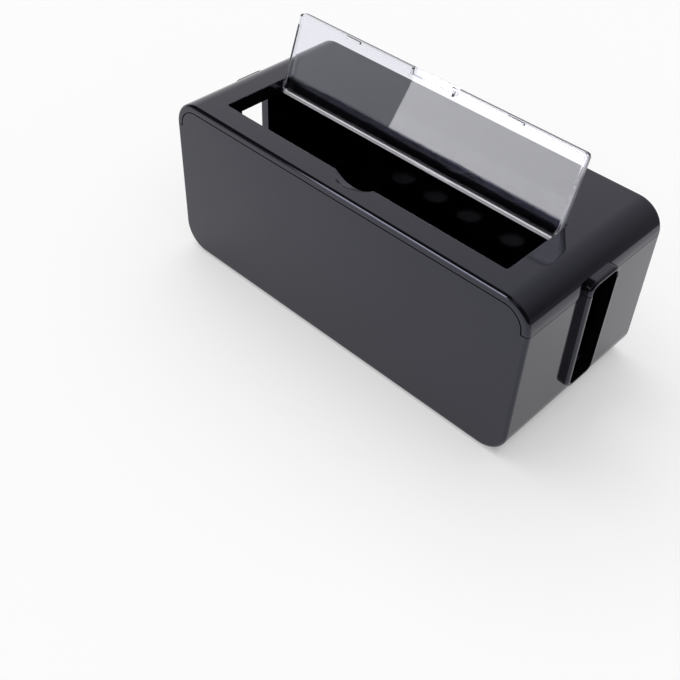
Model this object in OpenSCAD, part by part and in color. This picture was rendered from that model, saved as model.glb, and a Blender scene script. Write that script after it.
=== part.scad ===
/*
  Cable management box: an open-topped base with a cable slot in each end, a
  lift-off lid bent over the top and both ends, and a clear cover that flips
  up on two pins at the rear of the lid's window. X runs along the box, the
  front is -Y, and z = 0 is the surface that the feet stand on.
*/

/* [Overall] */
// Length over the two ends, measured at the seam
box_l = 320; // [280:5:380]
// Depth from the front face to the back face
box_w = 147; // [130:1:180]
// Height from the resting surface to the top of the lid
box_h = 132.2; // [120:0.2:160]

/* [Shell] */
// Thickness of the base and the lid
wall = 2.4; // [2:0.1:3]
// How far each end leans in between the seam and the underside
end_draft = 3; // [1:0.5:6]
// Radius of the bottom corners, seen from the front
base_r = 20.6; // [14:0.2:23]
// Radius of the lid's bent ends
top_r = 20.6; // [16:0.2:21]
// Radius rolled along the lid's front and back edges
lid_edge_r = 1.3; // [0.8:0.1:2]

/* [Seam] */
// Height from the seam at the ends to the lid's top
end_drop = 21.2; // [21.2:0.2:26]
// Height of the lid's rim along the front and the back
rim_h = 5.4; // [4:0.2:8]
// Open line between the lid and the base
seam_gap = 0.4; // [0.2:0.05:0.6]
// How far the lid's tongue reaches into the base
tongue_h = 4; // [2.5:0.5:7]
// Thickness of the tongue
tongue_t = 1.6; // [1.2:0.1:2.2]
// Clearance between the tongue and the base's wall
tongue_gap = 0.4; // [0.3:0.05:0.8]

/* [Cable slots] */
// Width of the slot at the seam
slot_w = 27.2; // [18:0.2:40]
// How far each side of the slot leans in towards the sill
slot_lean = 1.3; // [0:0.1:3]
// Height of the slot's sill over the underside
slot_sill = 28.2; // [27:0.2:60]
// Radius of the slot's corners
slot_r = 4.6; // [3:0.2:6]
// Width of the collar round the slot
collar_w = 3.2; // [2.4:0.1:5]
// How far the collar stands out from the end
collar_out = 4.8; // [2.5:0.1:8]
// Depth of the hood's top below the lid's top
hood_drop = 12; // [8:0.2:13]

/* [Vents] */
// Diameter of a vent hole in the floor
vent_d = 22; // [14:0.5:26]
// Radius rolled round each vent on the underside
vent_edge = 1.8; // [0.6:0.1:1.9]
// Number of vents in each half of a row
vents_per_group = 3; // [1:1:3]
// Distance between neighbouring vents of a group
vent_pitch = 36.8; // [31:0.2:40]
// Distance between the two innermost vents of a row
vent_mid = 44.5; // [40:0.5:50]
// Distance between the two rows
vent_rows = 53.2; // [36:0.2:60]
// Inset of the underside's bead from the ends
bead_end = 35.2; // [34:0.2:40]
// Inset of the bead from the front and the back
bead_side = 15.6; // [12:0.2:18]
// Width of the bead
bead_w = 2; // [1.2:0.1:3]
// Height of the bead
bead_h = 0.8; // [0.4:0.1:1]
// Outer corner radius of the bead
bead_r = 12; // [8:0.5:16]

/* [Feet] */
// Height of a foot below the base
foot_h = 1.6; // [1.2:0.1:3]
// Diameter of a foot
foot_d = 12.8; // [10:0.2:14]
// Inset of a foot's centre from the ends
foot_end = 33; // [28:0.5:38]
// Inset of a foot's centre from the front and the back
foot_side = 12.1; // [10:0.1:14]
// Diameter of a foot's stem
stem_d = 5; // [4:0.2:6]
// Clearance between the stem and its hole, on the radius
stem_gap = 0.1; // [0.05:0.05:0.3]

/* [Window] */
// Inset of the window from the ends
win_end = 34; // [30:0.5:50]
// Inset of the window from the front
win_front = 19.7; // [18:0.1:26]
// Depth of the window from front to back
win_d = 63.4; // [50:0.2:80]
// Corner radius of the window
win_r = 2; // [1:0.5:4]
// Height of the skirt that hangs round the window
skirt_h = 11; // [10:0.5:16]
// Thickness of the skirt
skirt_t = 2; // [1.6:0.1:2.6]
// Width of the finger scoop at the window's edge
scoop_w = 35; // [26:0.5:44]
// Depth of the finger scoop at the window's edge
scoop_d = 6.4; // [5.6:0.1:7.5]
// Distance from the window's edge back to the scoop's centre
scoop_back = 8; // [3:0.5:10]

/* [Flip cover] */
// Angle that the cover is opened to
open_angle = 108.5; // [95:0.1:115]
// Clearance round the closed cover
cover_gap = 0.9; // [0.7:0.05:1.2]
// Thickness of the cover's plate
plate_t = 2; // [1.6:0.1:2.6]
// Depth of the flange round the plate
flange_h = 5.4; // [4.8:0.1:6]
// Thickness of the flange
flange_t = 1.8; // [1.4:0.1:2.4]
// Corner radius of the cover
cover_r = 3; // [1.5:0.5:6]
// Radius rolled along the cover's rear edge, so that it turns clear of the lid
tail_r = 1.6; // [1.2:0.1:1.8]
// Distance from the cover's rear edge to its pivot
tail = 6.7; // [6:0.1:7.4]
// Depth of the pivot below the lid's top
pivot_drop = 3.8; // [3.4:0.1:4.2]
// Diameter of a pivot pin
pin_d = 3.2; // [2.6:0.1:3.4]
// Length of a pin inside its socket
pin_in = 2.6; // [2:0.1:4]
// Running clearance between pin and socket, on the radius
pin_gap = 0.06; // [0.03:0.01:0.1]
// Diameter of the round lug that carries a pin
lug_d = 6.4; // [5.6:0.1:7]
// Half the width of the finger tab at the free edge
tab_half = 17.4; // [12:0.2:22]
// Set-back of the flange behind the finger tab
tab_in = 4.6; // [3:0.2:6]
// Distance from the box's middle to each clip
clip_x = 71; // [40:1:95]
// Width of a clip
clip_w = 13; // [9:0.5:18]
// How far a clip reaches below the flange
clip_h = 1.8; // [1.2:0.1:2.2]
// Clearance between the cover and the stops that hold it
stop_gap = 0.3; // [0.2:0.05:0.5]

/* [Hidden] */
$fn = 64;
over = 1;
hair = 0.005;
hl = box_l / 2;
hw = box_w / 2;
floor_z = foot_h;
seam_z = box_h - end_drop;
arc_x = hl - top_r;
arc_z = box_h - top_r;
draft_a = atan(end_draft / (seam_z - floor_z));
slot_depth = seam_z - floor_z - slot_sill;
hood_top = box_h - hood_drop;
step_t = wall + tongue_gap + tongue_t;
win_half = hl - win_end;
win_y0 = -hw + win_front;
win_y1 = win_y0 + win_d;
pivot_y = win_y1 - cover_gap - tail;
pivot_z = box_h - pivot_drop;
cover_half = win_half - cover_gap;
cover_y0 = win_y0 + cover_gap;
cover_y1 = win_y1 - cover_gap;
flange_z = box_h - flange_h;
foot_x = hl - foot_end;
foot_y = hw - foot_side;
scoop_a = sqrt(pow(scoop_w / 2, 2) + pow(scoop_back, 2));

// Sphere that is scoop_d deep at the window's edge and reaches the surface at radius scoop_a
scoop_q = (pow(scoop_w / 2, 2) - pow(scoop_d, 2)) / (2 * scoop_d);
scoop_rise = scoop_q;
scoop_r = sqrt(pow(scoop_rise, 2) + pow(scoop_a, 2));

// ---------- outlines ----------

// U with sides that lean in by `lean` over `height` and rounded bottom corners,
// grown outwards by `grow` and carried `extra` past its open top. Each side sits a
// hair inside its corner's circle, so that the two cross instead of only touching
module leaning_u(half, lean, height, r, grow = 0, extra = 0) {
  a = atan(lean / height);
  cx = half - lean + r * tan(a) - r / cos(a);
  top = height + extra;
  ro = r + grow;
  wide = ro + r + lean + extra;
  for (s = [-1, 1]) translate([s * cx, r]) circle(r = ro, $fn = 96);
  translate([-cx, -grow]) square([2 * cx, top + grow]);
  intersection() {
    for (s = [0, 1]) mirror([s, 0]) translate([cx, r]) rotate(-a)
      translate([ro - hair - wide, 0]) square([wide, top]);
    translate([-half - ro, -grow]) square([2 * (half + ro), top + grow]);
  }
}

// Arch of the lid seen from the front, set in by `inset`, open at `bottom`
module lid_arch(inset, bottom) {
  translate([-hl + inset, bottom]) square([box_l - 2 * inset, arc_z - bottom]);
  translate([-arc_x, bottom]) square([2 * arc_x, box_h - inset - bottom]);
  for (s = [-1, 1]) translate([s * arc_x, arc_z]) circle(r = top_r - inset, $fn = 96);
}

// Rectangle with rounded corners, from [x0, y0] to [x1, y1]
module round_rect(x0, y0, x1, y1, r) {
  translate([x0 + r, y0]) square([x1 - x0 - 2 * r, y1 - y0]);
  translate([x0, y0 + r]) square([x1 - x0, y1 - y0 - 2 * r]);
  for (x = [x0 + r, x1 - r], y = [y0 + r, y1 - r]) translate([x, y]) circle(r = r);
}

// Upside-down U of the hood, seen from the end; the opening inside it is grow = 0
module hood_arch(grow, bottom) {
  half = slot_w / 2 + grow;
  top = hood_top - collar_w + grow;
  r = slot_r + grow;
  intersection() {
    union() {
      translate([-half, bottom - r]) square([2 * half, top - bottom]);
      translate([-half + r, bottom]) square([2 * (half - r), top - bottom]);
      for (s = [-1, 1]) translate([s * (half - r), top - r]) circle(r = r);
    }
    translate([-half - over, bottom]) square([2 * (half + over), top - bottom + over]);
  }
}

// ---------- placing ----------

// Extrude an XZ outline along Y, from y0 to y1
module along_y(y0, y1) {
  translate([0, y1, 0]) rotate([90, 0, 0]) linear_extrude(y1 - y0) children();
}

// Extrude a YZ outline along X, from x0 to x1
module along_x(x0, x1) {
  translate([x0, 0, 0]) rotate([90, 0, 90]) linear_extrude(x1 - x0) children();
}

// Put a child on the right end and its mirror on the left end
module both_ends() {
  children();
  mirror([1, 0, 0]) children();
}

// Put a child at the front and its mirror at the back
module both_sides() {
  children();
  mirror([0, 1, 0]) children();
}

// Outline in the plane of the leaning end, standing `out` from its face
module on_end(from, to) {
  translate([hl, 0, seam_z]) rotate([0, draft_a, 0])
    along_x(from, to) translate([0, -slot_depth]) children();
}

// Round bar of radius r from point a to point b in the XZ plane, at depth y
module bar(a, b, y, r) {
  d = b - a;
  translate([a[0], y, a[1]]) rotate([0, atan2(d[0], d[1]), 0]) cylinder(r = r, h = norm(d));
}

// Rolled corner: a ring of section r that turns about Y from angle a0 to a1
module roll(centre, ring, y, r, a0, a1) {
  translate([centre[0], y, centre[1]]) rotate([90, 0, 0]) rotate([0, 0, a0])
    rotate_extrude(angle = a1 - a0, $fn = 128) translate([ring, 0]) circle(r = r, $fn = 32);
}

// ---------- base ----------

module base_outline(grow = 0, extra = 0) {
  translate([0, floor_z])
    leaning_u(hl, end_draft, seam_z - floor_z, base_r, grow, extra);
}

module tub() {
  along_y(-hw, hw) base_outline(0, -seam_gap);
}

// Front wall carried up into the lid's arch
module upper_wall() {
  along_y(-hw, -hw + wall) intersection() {
    lid_arch(rim_h + seam_gap, seam_z - wall);
    translate([-hl, seam_z - wall]) square([box_l, end_drop]);
  }
}

module collar() {
  on_end(-wall / 2, collar_out)
    leaning_u(slot_w / 2, slot_lean, slot_depth, slot_r, collar_w, -seam_gap);
}

module slot() {
  on_end(-2 * wall, collar_out + over)
    leaning_u(slot_w / 2, slot_lean, slot_depth, slot_r, 0, over);
}

// Vent hole with an edge rolled on the underside
module vent() {
  r = vent_d / 2;
  translate([0, 0, floor_z - over]) cylinder(d = vent_d, h = wall + 2 * over);
  translate([0, 0, floor_z]) rotate_extrude() difference() {
    translate([0, -over]) square([r + vent_edge, vent_edge + over]);
    translate([r + vent_edge, vent_edge]) circle(r = vent_edge, $fn = 48);
  }
}

module at_vents() {
  for (sx = [-1, 1], sy = [-1, 1], i = [0 : vents_per_group - 1])
    translate([sx * (vent_mid / 2 + i * vent_pitch), sy * vent_rows / 2, 0]) children();
}

module at_feet() {
  for (sx = [-1, 1], sy = [-1, 1]) translate([sx * foot_x, sy * foot_y, 0]) children();
}

// Raised bead round the vents on the underside
module bead() {
  x = hl - bead_end;
  y = hw - bead_side;
  translate([0, 0, floor_z - bead_h]) linear_extrude(bead_h + wall / 2) difference() {
    round_rect(-x, -y, x, y, bead_r);
    round_rect(-x + bead_w, -y + bead_w, x - bead_w, y - bead_w, bead_r - bead_w);
  }
}

// Mark that the mould's gate leaves in the middle of the underside
module gate_mark() {
  translate([0, 0, floor_z - over]) cylinder(d = 6.4, h = over + 0.4);
}

module base_box() {
  color([0.13, 0.13, 0.14]) difference() {
    union() {
      tub();
      both_sides() upper_wall();
      both_ends() collar();
      bead();
    }
    along_y(-hw + wall, hw - wall) base_outline(-wall, end_drop);
    both_ends() slot();
    at_vents() vent();
    at_feet() translate([0, 0, floor_z - over])
      cylinder(r = stem_d / 2 + stem_gap, h = wall + 2 * over);
    gate_mark();
  }
}

// ---------- lid ----------

// Rolled outer edges of the lid's front
module lid_rolls() {
  r = lid_edge_r;
  y = -hw + r;
  bar([-arc_x, box_h - r], [arc_x, box_h - r], y, r);
  both_ends() {
    roll([arc_x, arc_z], top_r - r, y, r, 0, 90);
    bar([hl - r, seam_z], [hl - r, arc_z], y, r);
  }
}

module lid_block() {
  along_y(-hw + lid_edge_r, hw - lid_edge_r) cut_at_seam() lid_arch(0, seam_z);
  along_y(-hw, hw) cut_at_seam() lid_arch(lid_edge_r, seam_z);
  both_sides() lid_rolls();
}

module cut_at_seam(z = seam_z) {
  intersection() {
    children();
    translate([-hl, z]) square([box_l, box_h - z]);
  }
}

// Front rim with the step and the tongue that drop inside the base's wall
module rim() {
  along_y(-hw, -hw + step_t) difference() {
    cut_at_seam() lid_arch(lid_edge_r, seam_z);
    lid_arch(rim_h, seam_z - over);
  }
  tongue_x = hl - wall - tongue_gap;
  along_y(-hw + wall + tongue_gap, -hw + step_t) difference() {
    intersection() {
      cut_at_seam(seam_z - tongue_h) lid_arch(rim_h / 2, seam_z - tongue_h);
      translate([-tongue_x, seam_z - tongue_h]) square([2 * tongue_x, end_drop + tongue_h]);
    }
    lid_arch(rim_h + tongue_h, seam_z - tongue_h - over);
  }
}

// Step and tongue inside the lid's end
module end_tongue() {
  x1 = hl - wall - tongue_gap - (tongue_h + over) * tan(draft_a);
  along_y(-hw + wall, hw - wall) translate([hl - step_t, seam_z]) square([step_t - wall / 2, rim_h]);
  along_y(-hw + wall + tongue_gap, hw - wall - tongue_gap)
    translate([hl - step_t, seam_z - tongue_h]) square([x1 - hl + step_t, tongue_h + over]);
}

// Place inside the lid's shell where the hood grows out of it, to a tenth
hood_mid = hood_top - collar_w / 2 - arc_z;
hood_root = round(10 * (arc_x + sqrt(pow(top_r - wall / 2, 2) - pow(hood_mid, 2)))) / 10;
hood_face = hl + collar_out;

module hood() {
  along_x(hood_root, hood_face) hood_arch(collar_w, seam_z);
}

module hood_opening() {
  along_x(hl - step_t - over, hood_face + over) hood_arch(0, seam_z - tongue_h - over);
}

module window_hole(grow = 0) {
  round_rect(-win_half - grow, win_y0 - grow, win_half + grow, win_y1 + grow, win_r + grow);
}

module window_skirt() {
  translate([0, 0, box_h - skirt_h]) linear_extrude(skirt_h - wall / 2) window_hole(skirt_t);
}

module at_scoop() {
  translate([0, win_y0 + scoop_back, box_h + scoop_rise]) children();
}

// Bowl under the finger scoop, kept inside the lid and clear of the window
module scoop_bowl() {
  wide = scoop_a + wall;
  intersection() {
    at_scoop() sphere(r = scoop_r + wall, $fn = 128);
    translate([-wide, -hw + wall, box_h - skirt_h])
      cube([2 * wide, win_front - wall + skirt_t, skirt_h - wall / 2]);
  }
}

// Block behind the skirt that holds a pin's socket
module socket_block() {
  size = pin_d + 5;
  translate([win_half, pivot_y - size / 2, box_h - skirt_h])
    cube([skirt_t + pin_in, size, skirt_h - wall / 2]);
}

module pin_socket() {
  translate([win_half - over, pivot_y, pivot_z]) rotate([0, 90, 0])
    cylinder(r = pin_d / 2 + pin_gap, h = over + pin_in + stop_gap);
}

// Point of the open cover's section, given in the closed cover's frame about the pivot
function opened(y, z) = [
  pivot_y + y * cos(open_angle) + z * sin(open_angle),
  pivot_z - y * sin(open_angle) + z * cos(open_angle)
];

// Rib on the window's side that the cover's tail leans against when it is open
module open_stop() {
  low = flange_h - pivot_drop + stop_gap;
  foot = opened(tail, -low);
  head = opened(tail - 3.2, -low);
  along_x(win_half - cover_gap - flange_t, win_half + skirt_t / 2)
    polygon([foot, head, [head[0] - 2, head[1]], [foot[0] - 3, foot[1]]]);
}

// Ledge on the front skirt that carries a clip of the closed cover
module clip_ledge() {
  top = flange_z - clip_h - stop_gap;
  translate([clip_x - clip_w / 2 - 1, win_y0 - skirt_t / 2, box_h - skirt_h])
    cube([clip_w + 2, skirt_t / 2 + cover_gap + flange_t, top - box_h + skirt_h]);
}

module top_lid() {
  color([0.13, 0.13, 0.14]) difference() {
    union() {
      difference() {
        lid_block();
        along_y(-hw + wall, hw - wall) lid_arch(wall, seam_z - over);
        along_y(-hw - over, hw + over) lid_arch(rim_h, seam_z - over);
      }
      both_sides() rim();
      both_ends() {
        end_tongue();
        hood();
        socket_block();
      }
      window_skirt();
      scoop_bowl();
    }
    translate([0, 0, box_h - skirt_h - over]) linear_extrude(skirt_h + 2 * over) window_hole();
    at_scoop() sphere(r = scoop_r, $fn = 128);
    both_ends() {
      hood_opening();
      pin_socket();
    }
  }
  color([0.13, 0.13, 0.14]) both_ends() {
    open_stop();
    clip_ledge();
  }
}

// ---------- flip cover, drawn closed ----------

module cover_outline(inset = 0) {
  r = max(cover_r - inset, 0.4);
  round_rect(-cover_half + inset, cover_y0 + inset, cover_half - inset, cover_y1 - inset, r);
}

// Section of the cover's block with the top of its rear edge rolled
module cover_section() {
  difference() {
    translate([cover_y0 - over, flange_z]) square([cover_y1 - cover_y0 + over, flange_h]);
    translate([cover_y1 - tail_r, box_h - tail_r]) difference() {
      square([tail_r + over, tail_r + over]);
      circle(r = tail_r);
    }
  }
}

// Space behind the front flange, less the bay where it steps back behind the tab
module flange_pocket() {
  difference() {
    cover_outline(flange_t);
    translate([-tab_half - flange_t, cover_y0]) square([2 * (tab_half + flange_t), tab_in + flange_t]);
  }
}

module tab_bay() {
  translate([-tab_half, cover_y0 - over]) square([2 * tab_half, tab_in + over]);
}

module clip() {
  translate([clip_x - clip_w / 2, cover_y0, flange_z - clip_h]) cube([clip_w, flange_t, clip_h + over]);
  translate([clip_x - clip_w / 2, cover_y0, flange_z - clip_h]) along_x(0, clip_w)
    polygon([[0, 0], [flange_t, 0], [flange_t, 0.1], [0, 1.6], [-0.5, 1]]);
}

module lug() {
  translate([cover_half - flange_t, pivot_y, pivot_z]) rotate([0, 90, 0]) cylinder(d = lug_d, h = flange_t);
}

module pin() {
  translate([cover_half - flange_t / 2, pivot_y, pivot_z]) rotate([0, 90, 0])
    cylinder(d = pin_d, h = flange_t / 2 + cover_gap + pin_in);
}

module closed_cover() {
  difference() {
    union() {
      difference() {
        intersection() {
          translate([0, 0, flange_z]) linear_extrude(flange_h) cover_outline();
          along_x(-cover_half - over, cover_half + over) cover_section();
        }
        translate([0, 0, flange_z - over]) linear_extrude(flange_h - plate_t + over) flange_pocket();
      }
      both_ends() {
        clip();
        intersection() {
          lug();
          translate([0, cover_y0, 0]) cube([hl, cover_y1 - cover_y0, box_h]);
        }
        pin();
      }
    }
    translate([0, 0, flange_z - over]) linear_extrude(flange_h - plate_t + over) tab_bay();
  }
}

module flip_cover() {
  color([0.85, 0.88, 0.92, 0.35])
    translate([0, pivot_y, pivot_z]) rotate([-open_angle, 0, 0]) translate([0, -pivot_y, -pivot_z])
      closed_cover();
}

// ---------- feet ----------

// Foot turned about its own axis: a disc with a dimple, a stem and a head above the floor
module foot(sx, sy) {
  r = foot_d / 2;
  e = foot_h / 3;
  head_z = foot_h + wall;
  color([0.1, 0.1, 0.1]) translate([sx * foot_x, sy * foot_y, 0]) rotate_extrude() union() {
    difference() {
      square([r, foot_h]);
      translate([r - e, 0]) square([e, e]);
      square([foot_d / 4, foot_h / 2]);
    }
    translate([r - e, e]) circle(r = e, $fn = 32);
    translate([0, foot_h / 2]) square([stem_d / 2, foot_h / 2 + wall]);
    polygon([[0, head_z], [stem_d / 2 + 0.8, head_z], [stem_d / 2 - 0.4, head_z + 2], [0, head_z + 2]]);
  }
}

module foot_front_left() { foot(-1, -1); }
module foot_front_right() { foot(1, -1); }
module foot_rear_left() { foot(-1, 1); }
module foot_rear_right() { foot(1, 1); }

base_box();
top_lid();
flip_cover();
foot_front_left();
foot_front_right();
foot_rear_left();
foot_rear_right();
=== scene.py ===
# %% [markdown]
# # A cable management box in gloss black plastic with a clear flip-up cover
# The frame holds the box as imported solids: a tub with a cable slot in each end, a lid bent over
# the top and both ends, a clear cover on two pins, and four feet. This script gives each of them
# the surface of the real moulding. Everything is in metres, in the frame's own axes: X runs along
# the box, the front is -Y, and z = 0 is the surface that the feet stand on.

# %% Load the frame
import math
import bmesh
import bpy
from mathutils import Matrix, Quaternion, Vector


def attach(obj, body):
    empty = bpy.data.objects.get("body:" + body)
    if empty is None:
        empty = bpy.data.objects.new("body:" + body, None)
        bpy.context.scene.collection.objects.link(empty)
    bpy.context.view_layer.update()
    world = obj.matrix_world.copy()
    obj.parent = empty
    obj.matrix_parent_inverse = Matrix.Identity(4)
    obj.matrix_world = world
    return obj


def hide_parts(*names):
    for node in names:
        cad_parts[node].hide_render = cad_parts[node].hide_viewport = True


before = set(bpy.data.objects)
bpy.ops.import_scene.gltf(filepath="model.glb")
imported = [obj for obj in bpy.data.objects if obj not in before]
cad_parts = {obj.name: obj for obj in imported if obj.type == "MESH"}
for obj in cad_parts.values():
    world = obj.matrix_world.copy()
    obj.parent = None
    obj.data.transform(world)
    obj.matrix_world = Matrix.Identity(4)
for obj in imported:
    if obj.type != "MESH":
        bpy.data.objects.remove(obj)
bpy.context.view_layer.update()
mm = 0.001

# %% [markdown]
# ## Shader maths in plain Python
# A procedural finish is a small calculation. Wiring it by hand takes many lines, so `Num` wraps
# one output socket and lets Python's own operators add the Math nodes. `Finish` holds a
# material's node tree and has one method that adds any other node: its type, its settings, then
# the values or links of its sockets.

# %% Num
class Num:
    def __init__(self, finish, socket):
        self.finish = finish
        self.socket = socket

    def math(self, operation, first, second=0.0):
        return self.finish.add("ShaderNodeMath", {"operation": operation}, {0: first, 1: second})

    def __add__(self, other):
        return self.math("ADD", self, other)

    def __radd__(self, other):
        return self.math("ADD", other, self)

    def __sub__(self, other):
        return self.math("SUBTRACT", self, other)

    def __rsub__(self, other):
        return self.math("SUBTRACT", other, self)

    def __mul__(self, other):
        return self.math("MULTIPLY", self, other)

    def __rmul__(self, other):
        return self.math("MULTIPLY", other, self)

    def __abs__(self):
        return self.math("ABSOLUTE", self)

    def at_least(self, other):
        return self.math("MAXIMUM", self, other)

    def up_to_one(self):
        return self.finish.add("ShaderNodeClamp", None, {"Value": self})

    def rise(self, start, end):
        return self.finish.add("ShaderNodeMapRange", {"interpolation_type": "SMOOTHSTEP"},
                               {"Value": self, "From Min": start, "From Max": end})


print("Num adds Math nodes for + - * and abs()")

# %% Finish
mix_low, mix_high, mix_colour = 6, 7, 2


class Finish:
    def __init__(self, name):
        self.material = bpy.data.materials.new(name)
        self.material.use_nodes = True
        self.tree = self.material.node_tree
        self.tree.nodes.clear()

    def add(self, kind, settings=None, sockets=None, out=0):
        node = self.tree.nodes.new(kind)
        for key, value in (settings or {}).items():
            setattr(node, key, value)
        for key, value in (sockets or {}).items():
            if isinstance(value, Num):
                self.tree.links.new(value.socket, node.inputs[key])
            else:
                node.inputs[key].default_value = value
        return Num(self, node.outputs[out])

    def place(self):
        return self.add("ShaderNodeTexCoord", out="Object")

    def noise(self, per_metre, detail=2.0, distortion=0.0):
        return self.add("ShaderNodeTexNoise", None,
                        {"Vector": self.place(), "Scale": per_metre, "Detail": detail,
                         "Distortion": distortion}, "Fac")

    def between(self, factor, low, high):
        return self.add("ShaderNodeMix", {"data_type": "RGBA"},
                        {"Factor": factor, mix_low: (*low, 1), mix_high: (*high, 1)}, mix_colour)

    def bump(self, height, depth, strength, over=None):
        sockets = {"Height": height, "Distance": depth, "Strength": strength}
        if over:
            sockets["Normal"] = over
        return self.add("ShaderNodeBump", None, sockets)

    def ray(self, kind):
        return self.add("ShaderNodeLightPath", out="Is " + kind + " Ray")

    def mix_shaders(self, share, first, second):
        return self.add("ShaderNodeMixShader", None, {0: share, 1: first, 2: second})

    def surface(self, shader):
        output = self.tree.nodes.new("ShaderNodeOutputMaterial")
        self.tree.links.new(shader.socket, output.inputs["Surface"])
        return self.material


print("Finish adds any other node")

# %% [markdown]
# ## Gloss black plastic
# The tub and the lid come out of a polished mould. Such a surface is nearly black, and most of
# what the eye sees on it is the room, here tinted a little blue. Up close it isn't a perfect
# mirror: the plastic shrinks as it cools, which leaves a slow waviness, the polish leaves a very
# fine orange peel, and handling leaves a faint haze that comes and goes. The waviness and the
# peel are bump, the haze is roughness. A picture of smudges could do the same, but noise in
# Object coordinates needs no file and holds at any distance. The hollow for the finger has the
# same recipe with a satin roughness, which keeps it from throwing one hard bright crescent.

# %% Gloss black plastic
plastic_ior = 1.58
cool_reflection = (0.76, 0.77, 1.0, 1)
black_low = (0.0015, 0.0015, 0.0020)
black_high = (0.0035, 0.0035, 0.0045)
haze_per_metre, fine_haze_per_metre = 14, 160
haze_share, fine_haze_share = 0.7, 0.3
wave_per_metre, wave_depth = 22, 0.05 * mm
peel_per_metre, peel_depth = 420, 0.002 * mm
half_strength = 0.5


def black_plastic(name, rough_low, rough_high):
    f = Finish(name)
    haze = f.noise(haze_per_metre, 4, 0.6)
    fine_haze = f.noise(fine_haze_per_metre, 3)
    mixed_haze = haze * haze_share + fine_haze * fine_haze_share
    roughness = rough_low + (rough_high - rough_low) * mixed_haze
    wavy = f.bump(f.noise(wave_per_metre, 1), wave_depth, half_strength)
    normal = f.bump(f.noise(peel_per_metre, 2), peel_depth, half_strength, wavy)
    shader = f.add("ShaderNodeBsdfPrincipled", None,
                   {"Base Color": f.between(haze, black_low, black_high),
                    "Roughness": roughness, "IOR": plastic_ior,
                    "Specular Tint": cool_reflection, "Normal": normal})
    return f.surface(shader)


shell_black = black_plastic("shell_black", 0.045, 0.11)
scoop_satin = black_plastic("scoop_satin", 0.30, 0.36)
print("finishes made:", shell_black.name, scoop_satin.name)

# %% [markdown]
# ## Clear plastic
# The cover is polished styrene: it lets most light through, bends it as glass does, and has a
# faint cool tint. Its flange and its rolled edges gather light that travels inside the plate and
# let it out again, so they look milky where the plate looks clear. Rendering that light's real
# path would take very many samples, so that light is painted instead: paler finishes that let less
# light through give the flange, the rolls and the rim a painted glow. One function makes all four
# finishes, and the share of light that passes straight through sets them apart.

# %% Clear plastic
styrene_ior = 1.52
smear_per_metre = 30


def styrene(name, colour, clear_share, rough_low, rough_high):
    f = Finish(name)
    smear = f.noise(smear_per_metre, 3, 0.4)
    shader = f.add("ShaderNodeBsdfPrincipled", None,
                   {"Base Color": (*colour, 1),
                    "Roughness": rough_low + (rough_high - rough_low) * smear,
                    "IOR": styrene_ior, "Transmission Weight": clear_share})
    return f.surface(shader)


cover_clear = styrene("cover_clear", (0.86, 0.865, 0.93), 1.0, 0.004, 0.016)
# Painted glow: the next three finishes are paler and less clear, standing in for light let out of
# the plate.
flange_painted_glow = styrene("flange_painted_glow", (0.84, 0.84, 0.93), 0.65, 0.03, 0.08)
roll_painted_glow = styrene("roll_painted_glow", (0.93, 0.93, 0.98), 0.45, 0.05, 0.12)
rim_painted_glow = styrene("rim_painted_glow", (0.95, 0.95, 1.0), 0.15, 0.05, 0.12)
clear_and_painted_glows = (cover_clear, flange_painted_glow, roll_painted_glow, rim_painted_glow)
print("finishes made:", [finish.name for finish in clear_and_painted_glows])

# %% [markdown]
# ## Foot rubber
# The feet are soft rubber with a dull skin. Rubber is a little lighter than the gloss plastic and
# scatters what it reflects, so a middle roughness and a very fine grain are enough. The grain
# drives the colour, the roughness and the bump together, as it would on the real skin.

# %% Foot rubber
rubber_low = (0.012, 0.012, 0.013)
rubber_high = (0.022, 0.022, 0.024)
grain_per_metre, grain_depth, grain_strength = 900, 0.02 * mm, 0.6
dull, dull_spread = 0.42, 0.12


def foot_rubber(name):
    f = Finish(name)
    grain = f.noise(grain_per_metre, 4)
    shader = f.add("ShaderNodeBsdfPrincipled", None,
                   {"Base Color": f.between(grain, rubber_low, rubber_high),
                    "Roughness": dull + dull_spread * grain,
                    "Normal": f.bump(grain, grain_depth, grain_strength)})
    return f.surface(shader)


foot_black = foot_rubber("foot_black")
print("finish made:", foot_black.name)

# %% [markdown]
# ## The feet
# Each foot is a round disc with a dimple, pushed into a hole in the floor. A spun profile could
# make it again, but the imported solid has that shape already, so the feet keep their meshes and
# only get their rubber.

# %% Feet
feet = [node for node in sorted(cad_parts) if node.startswith("foot_")]
for node in feet:
    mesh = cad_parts[node].data
    mesh.materials.clear()
    mesh.materials.append(foot_black)
print("rubber on", feet)

# %% [markdown]
# ## Rolled edges for the mouldings
# A moulded edge is never knife sharp, and the thin bright and dark lines that run along the rolled
# edges tell the eye how the box is made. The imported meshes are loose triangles, so each copy is
# merged first: doubles go, and coplanar triangles are dissolved into whole faces. Then the edges
# that a test picks are bevelled. A Bevel modifier could do it too, but it can't choose its edges
# by place. A test gets the two ends of an edge in millimetres and the normals of its two faces.

# %% Merged copies
double_gap = 0.02 * mm
flat_within = math.radians(0.3)


def merged_copy(node):
    bm = bmesh.new()
    bm.from_mesh(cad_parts[node].data)
    bmesh.ops.remove_doubles(bm, verts=bm.verts, dist=double_gap)
    bmesh.ops.dissolve_limit(bm, angle_limit=flat_within, verts=bm.verts, edges=bm.edges)
    bm.normal_update()
    print(node, "merged into", len(bm.faces), "faces")
    return bm


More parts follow.
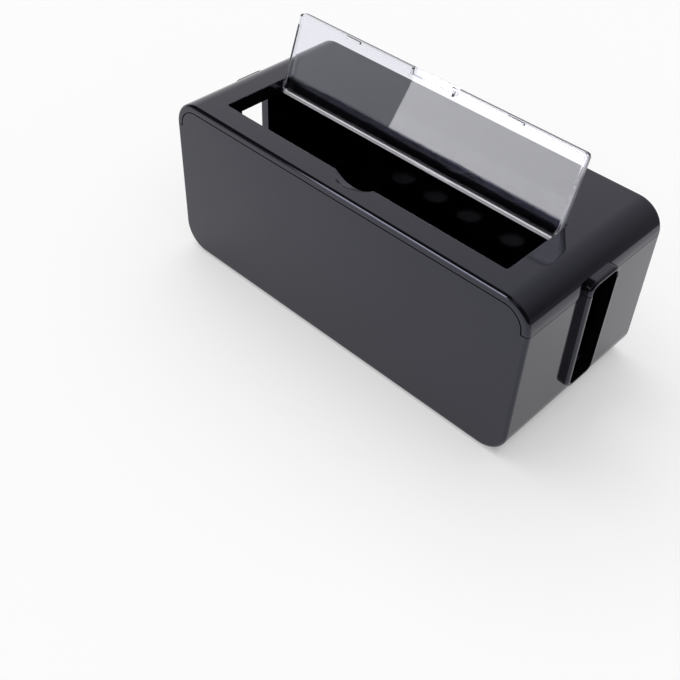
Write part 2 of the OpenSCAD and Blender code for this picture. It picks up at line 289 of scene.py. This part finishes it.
# %% Picked edges
def roll_edges(bm, label, radius, segments, belongs, sharper_than=20):
    chosen = []
    for edge in bm.edges:
        if len(edge.link_faces) != 2 or not edge.is_convex:
            continue
        if math.degrees(edge.calc_face_angle(0)) < sharper_than:
            continue
        ends = [vert.co / mm for vert in edge.verts]
        sides = [face.normal for face in edge.link_faces]
        if belongs(ends, sides):
            chosen.append(edge)
    length = sum(edge.calc_length() for edge in chosen)
    made = bmesh.ops.bevel(bm, geom=chosen, offset=radius * mm, offset_type="OFFSET",
                           affect="EDGES", segments=segments, profile=0.5, material=-1,
                           clamp_overlap=True)
    bm.normal_update()
    print(label, "rolled over", round(length / mm), "mm in", len(chosen), "edges")
    return set(made["faces"])


# %% Finished pieces
def mesh_object(name, bm, *finishes):
    mesh = bpy.data.meshes.new(name)
    bm.to_mesh(mesh)
    bm.free()
    piece = bpy.data.objects.new(name, mesh)
    bpy.context.scene.collection.objects.link(piece)
    for finish in finishes:
        mesh.materials.append(finish)
    return piece


def smooth_piece(name, bm, finishes, body, node, crease=32, flat=()):
    for face in bm.faces:
        face.smooth = face not in flat
    for edge in bm.edges:
        edge.smooth = math.degrees(edge.calc_face_angle(0)) < crease
    piece = mesh_object(name, bm, *finishes)
    evened = piece.modifiers.new("even_normals", "WEIGHTED_NORMAL")
    evened.keep_sharp = True
    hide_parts(node)
    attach(piece, body)
    print(name, "has", len(piece.data.polygons), "faces")
    return piece


# %% [markdown]
# ## Places on the box
# The tests need the box's own measures, in millimetres: the flat sides, the ends that lean in
# towards the bottom, the seam between tub and lid, and the bend of the lid over each end. They
# could be read off the mesh, but as names they say what each number is.

# %% Places on the box, in millimetres
X, Y, Z = range(3)
side_y = 73.5
wall_band = 2.6
end_x = 160.0
tub_top = 110.6
lid_bottom = 111.0
top_z = 132.2
bend_x, bend_z, bend_radius = 139.4, 111.6, 20.6
collar_out = 4.8
hood_face_x = 164.8
lean = math.atan(3.0 / 109.4)
give = 0.06


def at(ends, axis, value, within=give):
    return all(abs(abs(end[axis]) - value) < within for end in ends)


def side_off(axis, sides):
    return min(sides, key=lambda normal: abs(normal[axis]))


def out_of_end(end):
    return (abs(end.x) - end_x) * math.cos(lean) - (end.z - lid_bottom) * math.sin(lean)


def bend_spoke(x, z):
    return Vector((max(abs(x) - bend_x, 0), 0, z - bend_z))


print("ends lean by", round(math.degrees(lean), 2), "degrees")

# %% [markdown]
# ## Tub
# The tub is one deep moulding. Its outline is rolled softly all round the flat sides, the collar
# that stands out round each cable slot has a roll of its own on its rim, and the slot's mouth a
# tight one. The gap to the lid reads as a thin dark line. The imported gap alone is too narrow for
# that, so the tub's top edge is also lowered a little. Cutting a groove along it would be another
# way, with more faces.

# %% Edges of the tub
upward, downward = 0.03, -0.5
any_outward = 0.001
over_top = 0.05
end_seam_x = 158.5


def on_outline(ends, sides):
    below_seam = max(end.z for end in ends) < tub_top + over_top
    return at(ends, Y, side_y) and below_seam and side_off(Y, sides).z < upward


def on_collar_face(ends):
    return all(abs(out_of_end(end) - collar_out) < give for end in ends)


def points_out(ends, sides):
    middle = (ends[0] + ends[1]) / 2
    other = side_off(X, sides)
    return other.y * middle.y > any_outward or other.z < downward


def on_collar_rim(ends, sides):
    return on_collar_face(ends) and points_out(ends, sides)


def on_slot_mouth(ends, sides):
    return on_collar_face(ends) and not points_out(ends, sides)


def on_tub_seam(ends, sides):
    return at(ends, Y, side_y) and min(end.z for end in ends) > tub_top - give


def on_tub_end_seam(ends, sides):
    return at(ends, Z, tub_top) and min(abs(end.x) for end in ends) > end_seam_x


print("tub edges are told apart by five tests")

# %% Wider seam
end_share = 0.25
rim_depth = 0.25
seam_foot_x, seam_foot_z = 155.0, tub_top + 0.5
end_wall_x = 157.0


def open_seam(bm, depth):
    lowered = 0
    for vert in bm.verts:
        x, y, z = vert.co / mm
        inside = abs(y) < side_y - wall_band and abs(x) < end_wall_x
        if z < tub_top - rim_depth or inside:
            continue
        if z > bend_z:
            shift = bend_spoke(x, z).normalized() * depth
        elif abs(x) < seam_foot_x:
            shift = Vector((depth if z > seam_foot_z else 0, 0, depth))
        else:
            shift = Vector((0, 0, depth * end_share))
        vert.co -= Vector((math.copysign(shift.x, x), 0, shift.z)) * mm
        lowered += 1
    print("seam opened at", lowered, "corners")


# %% Tub
rim_roll, mouth_roll, seam_roll = 2.2, 0.8, 0.2
outline_roll = 2.6
seam_widening = 0.45

tub = merged_copy("base_box")
roll_edges(tub, "tub outline", outline_roll, 6, on_outline)
roll_edges(tub, "collar rims", rim_roll, 6, on_collar_rim)
roll_edges(tub, "slot mouths", mouth_roll, 3, on_slot_mouth)
roll_edges(tub, "tub seam", seam_roll, 2, on_tub_seam)
roll_edges(tub, "end seams", seam_roll, 2, on_tub_end_seam)
open_seam(tub, seam_widening)
tub_shell = smooth_piece("tub_shell", tub, [shell_black], "base", "base_box")

# %% [markdown]
# ## Lid
# The lid bends over the top and down both ends, and carries the hood that closes each slot. Its
# long edges are rolled already in the solid, but more tightly than on the real box. They could be
# bevelled once more, but the faces of a roll are there already, so it is widened in place: every
# corner of it is moved away from the sharp edge that the roll replaced, by the same factor. The
# hood gets the collar's two rolls, and the window and the scoop theirs.

# %% Edges of the lid
hood_side_y = 14
hood_top_upward, seam_upward = 0.5, 0.3
upright, level = 0.02, 0.99
scoop_half, scoop_back_y = 19.5, -45
end_give, below_lid = 1.4, 0.1


def on_hood_face(ends):
    return at(ends, X, hood_face_x)


def hood_points_out(ends, sides):
    middle = (ends[0] + ends[1]) / 2
    other = side_off(X, sides)
    beside = other.y * middle.y > any_outward and abs(middle.y) > hood_side_y
    return beside or other.z > hood_top_upward


def on_hood_rim(ends, sides):
    return on_hood_face(ends) and hood_points_out(ends, sides)


def on_hood_mouth(ends, sides):
    above_seam = min(end.z for end in ends) > lid_bottom - below_lid
    return on_hood_face(ends) and not hood_points_out(ends, sides) and above_seam


def on_window_edge(ends, sides):
    return at(ends, Z, top_z) and abs(side_off(Z, sides).z) < upright


def on_scoop_crease(ends, sides):
    near_scoop = all(abs(end.x) < scoop_half and end.y < scoop_back_y for end in ends)
    slope = abs(side_off(Z, sides).z)
    return near_scoop and at(ends, Z, top_z) and upright < slope < level


def on_lid_seam(ends, sides):
    return at(ends, Y, side_y) and side_off(Y, sides).z < seam_upward


def on_lid_end_seam(ends, sides):
    return at(ends, Z, lid_bottom) and at(ends, X, end_x, end_give)


print("lid edges are told apart by six tests")

# %% Wider roll along the lid
edge_cut = 1.3
edge_seen = 2.6
edge_give = 0.02


def widen_edge_roll(bm):
    moved = 0
    for vert in bm.verts:
        place = vert.co / mm
        if place.z > bend_z:
            spoke = bend_spoke(place.x, place.z)
            depth = bend_radius - spoke.length
            inward = -spoke.normalized()
        else:
            depth = -out_of_end(place)
            inward = Vector((-math.cos(lean), 0, math.sin(lean)))
        beside = side_y - abs(place.y)
        if max(depth, beside) > edge_cut + edge_give or min(depth, beside) < -edge_give:
            continue
        sideways = math.copysign(inward.x, -place.x) * depth if inward.x else 0
        shift = Vector((sideways, -math.copysign(beside, place.y), inward.z * depth))
        vert.co += shift * (edge_seen / edge_cut - 1) * mm
        moved += 1
    print("edge roll widened at", moved, "corners")


# %% Lid
window_edge_roll, scoop_roll = 0.4, 1.5

lid = merged_copy("top_lid")
widen_edge_roll(lid)
roll_edges(lid, "hood rims", rim_roll, 6, on_hood_rim)
roll_edges(lid, "hood mouths", mouth_roll, 3, on_hood_mouth)
window_roll = roll_edges(lid, "window edge", window_edge_roll, 2, on_window_edge)
roll_edges(lid, "scoop crease", scoop_roll, 4, on_scoop_crease)
roll_edges(lid, "lid seam", seam_roll, 2, on_lid_seam)
roll_edges(lid, "lid end seams", seam_roll, 2, on_lid_end_seam)
window_roll = {face for face in window_roll if face.is_valid}

# %% Satin scoop
scoop_front_y, scoop_rear_y, scoop_bottom_z = -62, -48, 124
steepest, flattest = 0.05, 0.97

satin_faces = 0
for face in lid.faces:
    middle = face.calc_center_median() / mm
    within = scoop_front_y < middle.y < scoop_rear_y and middle.z > scoop_bottom_z
    in_scoop = abs(middle.x) < scoop_half and within
    satin = in_scoop and steepest < face.normal.z < flattest
    face.material_index = 1 if satin else 0
    satin_faces += satin
print("satin on", satin_faces, "faces")
lid_shell = smooth_piece("lid_shell", lid, [shell_black, scoop_satin], "lid", "top_lid",
                         flat=window_roll)

# %% [markdown]
# ## Clear cover
# The cover is one thin clear moulding with a small roll on every edge. What the eye reads on it
# are those rolls, the rim that lies in the window and its right flange, so each face gets, by its
# place, either the clear finish or a painted glow that stands in for light let out of the plate.
# The places are simplest to name on the closed cover, so a face is turned about the pins first. A
# mesh of glass smoothed over its bends shows blotches, so everything here but nearly flat joints
# stays flat shaded. Its shadow is left out, because a clear plate's shadow is almost nothing and
# its bent light would only leave noise.

# %% Faces of the closed cover
pin_line = Vector((0, 2.0, 128.4))
closing = Matrix.Rotation(math.radians(108.5), 3, "X")
clear, edge, roll, lit_rim = range(len(clear_and_painted_glows))
rim_front_y, rim_top_z, rearward = 5, 129.6, 0.3
right_flange_x, sideways = 120, 0.8


def when_closed(face):
    return closing @ (face.calc_center_median() / mm - pin_line) + pin_line, closing @ face.normal


# Each face gets the clear finish or a painted glow by its place: the unrolled rim in the window
# the strongest glow, the rolls outside it and the right flange's sides weaker ones.
def clear_or_painted_glow(face, rolled):
    middle, normal = when_closed(face)
    if middle.y > rim_front_y and middle.z < rim_top_z and normal.y < rearward:
        return clear if rolled else lit_rim
    if rolled:
        return roll
    return edge if middle.x > right_flange_x and abs(normal.x) > sideways else clear


print("the cover closes about", tuple(pin_line))

# %% Clear cover
cover_edge_roll = 0.35
sharp, nearly_flat = 40, 4

cover = merged_copy("flip_cover")
rolled_faces = roll_edges(cover, "cover edges", cover_edge_roll, 2, lambda ends, sides: True,
                          sharper_than=sharp)
for face in cover.faces:
    face.material_index = clear_or_painted_glow(face, face in rolled_faces)
clear_cover = smooth_piece("clear_cover", cover, clear_and_painted_glows, "cover", "flip_cover",
                           crease=nearly_flat)
clear_cover.visible_shadow = False

# %% [markdown]
# ## The studio floor
# The floor is a plain pale sheet. It takes the box's shadow, and a part of its brightness is
# added for the camera, for gloss and for what is seen through the cover, so that it reads as
# white paper. More light would do that too, but it would also wash out the box. Under the box
# that part is left out, a painted shade on top of the real shadow there, so that what is seen
# through the vents stays dark.

# %% Floor
floor_albedo = 0.6
floor_lift = 0.4
floor_half_size = 6
box_half_x, box_half_y = 0.140, 0.060
lift_fade = 0.014


def seen_ray(f):
    return (f.ray("Camera") + f.ray("Glossy") + f.ray("Transmission")).up_to_one()


# Painted shade: 0 under the middle of the box, where the floor's glow is taken out, rising to 1
# near its outline.
def glow_past_painted_shade(f):
    along = f.add("ShaderNodeSeparateXYZ", None, {"Vector": f.place()}, "X")
    across = Num(f, along.socket.node.outputs["Y"])
    past_box = (abs(along) - box_half_x).at_least(abs(across) - box_half_y)
    return past_box.rise(0.0, lift_fade)


def pale_floor(name):
    f = Finish(name)
    paper = f.add("ShaderNodeBsdfDiffuse", None, {"Color": (floor_albedo,) * 3 + (1,)})
    lift = f.add("ShaderNodeEmission", None,
                 {"Color": (1, 1, 1, 1), "Strength": seen_ray(f) * glow_past_painted_shade(f) * floor_lift})
    return f.surface(f.add("ShaderNodeAddShader", None, {0: paper, 1: lift}))


sheet = bmesh.new()
bmesh.ops.create_grid(sheet, x_segments=1, y_segments=1, size=floor_half_size)
mesh_object("floor", sheet, pale_floor("paper"))
print("floor spans", 2 * floor_half_size, "m")

# %% [markdown]
# ## The room
# What gloss black shows is the room, so the room needs a shape: brighter towards the left, darker
# towards the right, and one dark area in the ceiling, which draws the dark line along the rolled
# front edge. A picture of a studio could light it, but a few smooth steps by direction do the same
# and stay adjustable. Only gloss sees them. Diffuse light comes from a plain grey, and the camera,
# like the clear cover, sees white.

# %% Room
class Room(Finish):
    def __init__(self, name):
        self.world = bpy.data.worlds.new(name)
        self.world.use_nodes = True
        self.tree = self.world.node_tree
        self.tree.nodes.clear()

    def facing(self, direction):
        here = self.add("ShaderNodeTexCoord", out="Generated")
        return self.add("ShaderNodeVectorMath", {"operation": "DOT_PRODUCT"},
                        {0: here, 1: direction}, "Value")

    def glow(self, strength):
        return self.add("ShaderNodeBackground", None,
                        {"Color": (1, 1, 1, 1), "Strength": strength})

    def light(self, shader):
        output = self.tree.nodes.new("ShaderNodeOutputWorld")
        self.tree.links.new(shader.socket, output.inputs["Surface"])
        return self.world


darker_side = (0.931, -0.362, -0.049)
wall_level, wall_fall, near_fall, darkest_wall = 0.55, 0.46, 0.40, 0.05
dark_ceiling = (-0.578, -0.249, 0.777)
ceiling_edge, ceiling_core, ceiling_depth = 0.69, 0.80, 0.93
plain_level = 0.55


def room_glow(room):
    toward_dark = room.facing(darker_side)
    near_dark = toward_dark.rise(0.0, 1.0)
    ceiling = room.facing(dark_ceiling).rise(ceiling_edge, ceiling_core)
    walls = (wall_level - wall_fall * toward_dark - near_fall * near_dark).at_least(darkest_wall)
    return walls * (1 - ceiling_depth * ceiling)


def studio_room():
    room = Room("studio")
    lit = room.mix_shaders(room.ray("Glossy"), room.glow(plain_level),
                           room.glow(room_glow(room)))
    seen = (room.ray("Camera") + room.ray("Transmission")).up_to_one()
    return room.light(room.mix_shaders(seen, lit, room.glow(1.0)))


bpy.context.scene.world = studio_room()
print("world:", bpy.context.scene.world.name)

# %% [markdown]
# ## Lamps
# A wide soft sun from above gives the floor its gentle shadow. A low softbox in front lifts the
# long side, and a strip that only gloss sees draws the thin light line along the rolled edges. A
# real studio does the same with one big light and a white card, where each has to be flagged off
# from what it shouldn't touch. Here a lamp is simply hidden from that kind of ray.

# %% Lamps
def aim(thing, place, target, roll=0.0):
    thing.location = place
    look = Vector(target) - Vector(place)
    thing.rotation_mode = "QUATERNION"
    thing.rotation_quaternion = look.to_track_quat("-Z", "Y") @ Quaternion((0, 0, 1), roll)


def hung(name, lamp, place, target):
    thing = bpy.data.objects.new(name, lamp)
    bpy.context.scene.collection.objects.link(thing)
    aim(thing, place, target)
    return thing


def soft_sun(name, direction, share, spread):
    lamp = bpy.data.lights.new(name, "SUN")
    lamp.energy = share * math.pi
    lamp.angle = spread
    return hung(name, lamp, direction, (0, 0, 0))


def softbox(name, place, target, width, height, radiance):
    lamp = bpy.data.lights.new(name, "AREA")
    lamp.shape = "RECTANGLE"
    lamp.size = width
    lamp.size_y = height
    lamp.energy = radiance * math.pi * width * height
    thing = hung(name, lamp, place, target)
    thing.visible_camera = False
    return thing


overhead = soft_sun("overhead", (-0.6, 0.15, 1.2), 0.45, math.radians(70))
overhead.visible_glossy = False
key = softbox("key_softbox", (-0.564, -1.365, 0.15), (0, -0.07, 0.15), 0.60, 0.30, 3.4)
strip = softbox("edge_strip", (-0.53, -1.05, 0.69), (0.07, -0.07, 0.12), 0.50, 0.34, 10.5)
strip.visible_diffuse = False
print("lamps:", overhead.name, key.name, strip.name)

# %% [markdown]
# ## Cards
# A photographer stands grey and dark cards round a glossy box to shade its reflections. One card
# bends round the right rear of the box and darkens what the lid's bend mirrors near the floor's
# horizon. Its two ends fade out, so that no hard line shows. The other stands beside the softbox
# and carries its light on along the front. A plane could stand in for the bent card, but its
# distance would change along the bend. Both are seen by gloss alone.

# %% Cards
def seen_by_gloss(piece):
    for ray in ("camera", "diffuse", "transmission", "shadow"):
        setattr(piece, "visible_" + ray, False)
    return piece


card_fade_start, card_fade_end = 0.35, 0.80
card_glow = 0.25
diagonal = 0.70


def dark_card(radius, height, centre):
    f = Finish("card_grey")
    spot = f.add("ShaderNodeVectorMath", {"operation": "SUBTRACT"},
                 {0: f.place(), 1: centre}, "Vector")
    toward = f.add("ShaderNodeVectorMath", {"operation": "DOT_PRODUCT"},
                   {0: spot, 1: (diagonal / radius, diagonal / radius, 0)}, "Value")
    cloth = f.add("ShaderNodeEmission", None,
                  {"Color": (card_glow,) * 3 + (1,), "Strength": 1.0})
    clear_air = f.add("ShaderNodeBsdfTransparent")
    bm = bmesh.new()
    bmesh.ops.create_cone(bm, cap_ends=False, segments=96, radius1=radius, radius2=radius,
                          depth=height)
    bmesh.ops.translate(bm, verts=bm.verts, vec=(centre[0], centre[1], height / 2))
    solid = toward.rise(card_fade_start, card_fade_end)
    finish = f.surface(f.mix_shaders(solid, clear_air, cloth))
    return seen_by_gloss(mesh_object("dark_card", bm, finish))


def gloss_card(name, corner, across, up, glow):
    f = Finish(name + "_grey")
    cloth = f.add("ShaderNodeEmission", None, {"Color": (glow, glow, glow, 1), "Strength": 1.0})
    bm = bmesh.new()
    bmesh.ops.create_grid(bm, x_segments=1, y_segments=1, size=0.5)
    for vert in bm.verts:
        along, above = vert.co.x + 0.5, vert.co.y + 0.5
        vert.co = Vector(corner) + Vector(across) * along + Vector(up) * above
    return seen_by_gloss(mesh_object(name, bm, f.surface(cloth)))


dark_card(0.5, 0.13, (0.14, 0.0, 0.0))
gloss_card("grey_card", (-0.84, -1.245, 0), (-0.61, 0.415, 0), (0, 0, 0.35), 0.40)
print("cards: dark_card grey_card")

# %% [markdown]
# ## Camera
# The camera looks down on the box from the front right, with a lens a little longer than normal.
# Its place, turn and tilt are given as numbers, and a small shift of the lens places the box off
# the middle of the frame without turning the camera. Aiming it at the box with a Track To
# constraint would be shorter, but that alone couldn't keep the slight roll.

# %% Camera
camera_place = (0.38394, -0.47794, 0.53618)
camera_azimuth = math.radians(40.814)
camera_elevation = math.radians(39.485)
camera_roll = math.radians(3.593)
camera_lens = 56.42
camera_shift = (-0.0441, -0.1176)

camera = bpy.data.objects.new("camera", bpy.data.cameras.new("camera"))
bpy.context.scene.collection.objects.link(camera)
camera.data.sensor_width = 36
camera.data.lens = camera_lens
camera.data.shift_x, camera.data.shift_y = camera_shift
back = Vector((math.sin(camera_azimuth) * math.cos(camera_elevation),
               -math.cos(camera_azimuth) * math.cos(camera_elevation),
               math.sin(camera_elevation)))
aim(camera, camera_place, Vector(camera_place) - back, camera_roll)
bpy.context.scene.camera = camera
bpy.context.scene.view_settings.view_transform = "Standard"
print("camera lens", camera_lens, "mm")
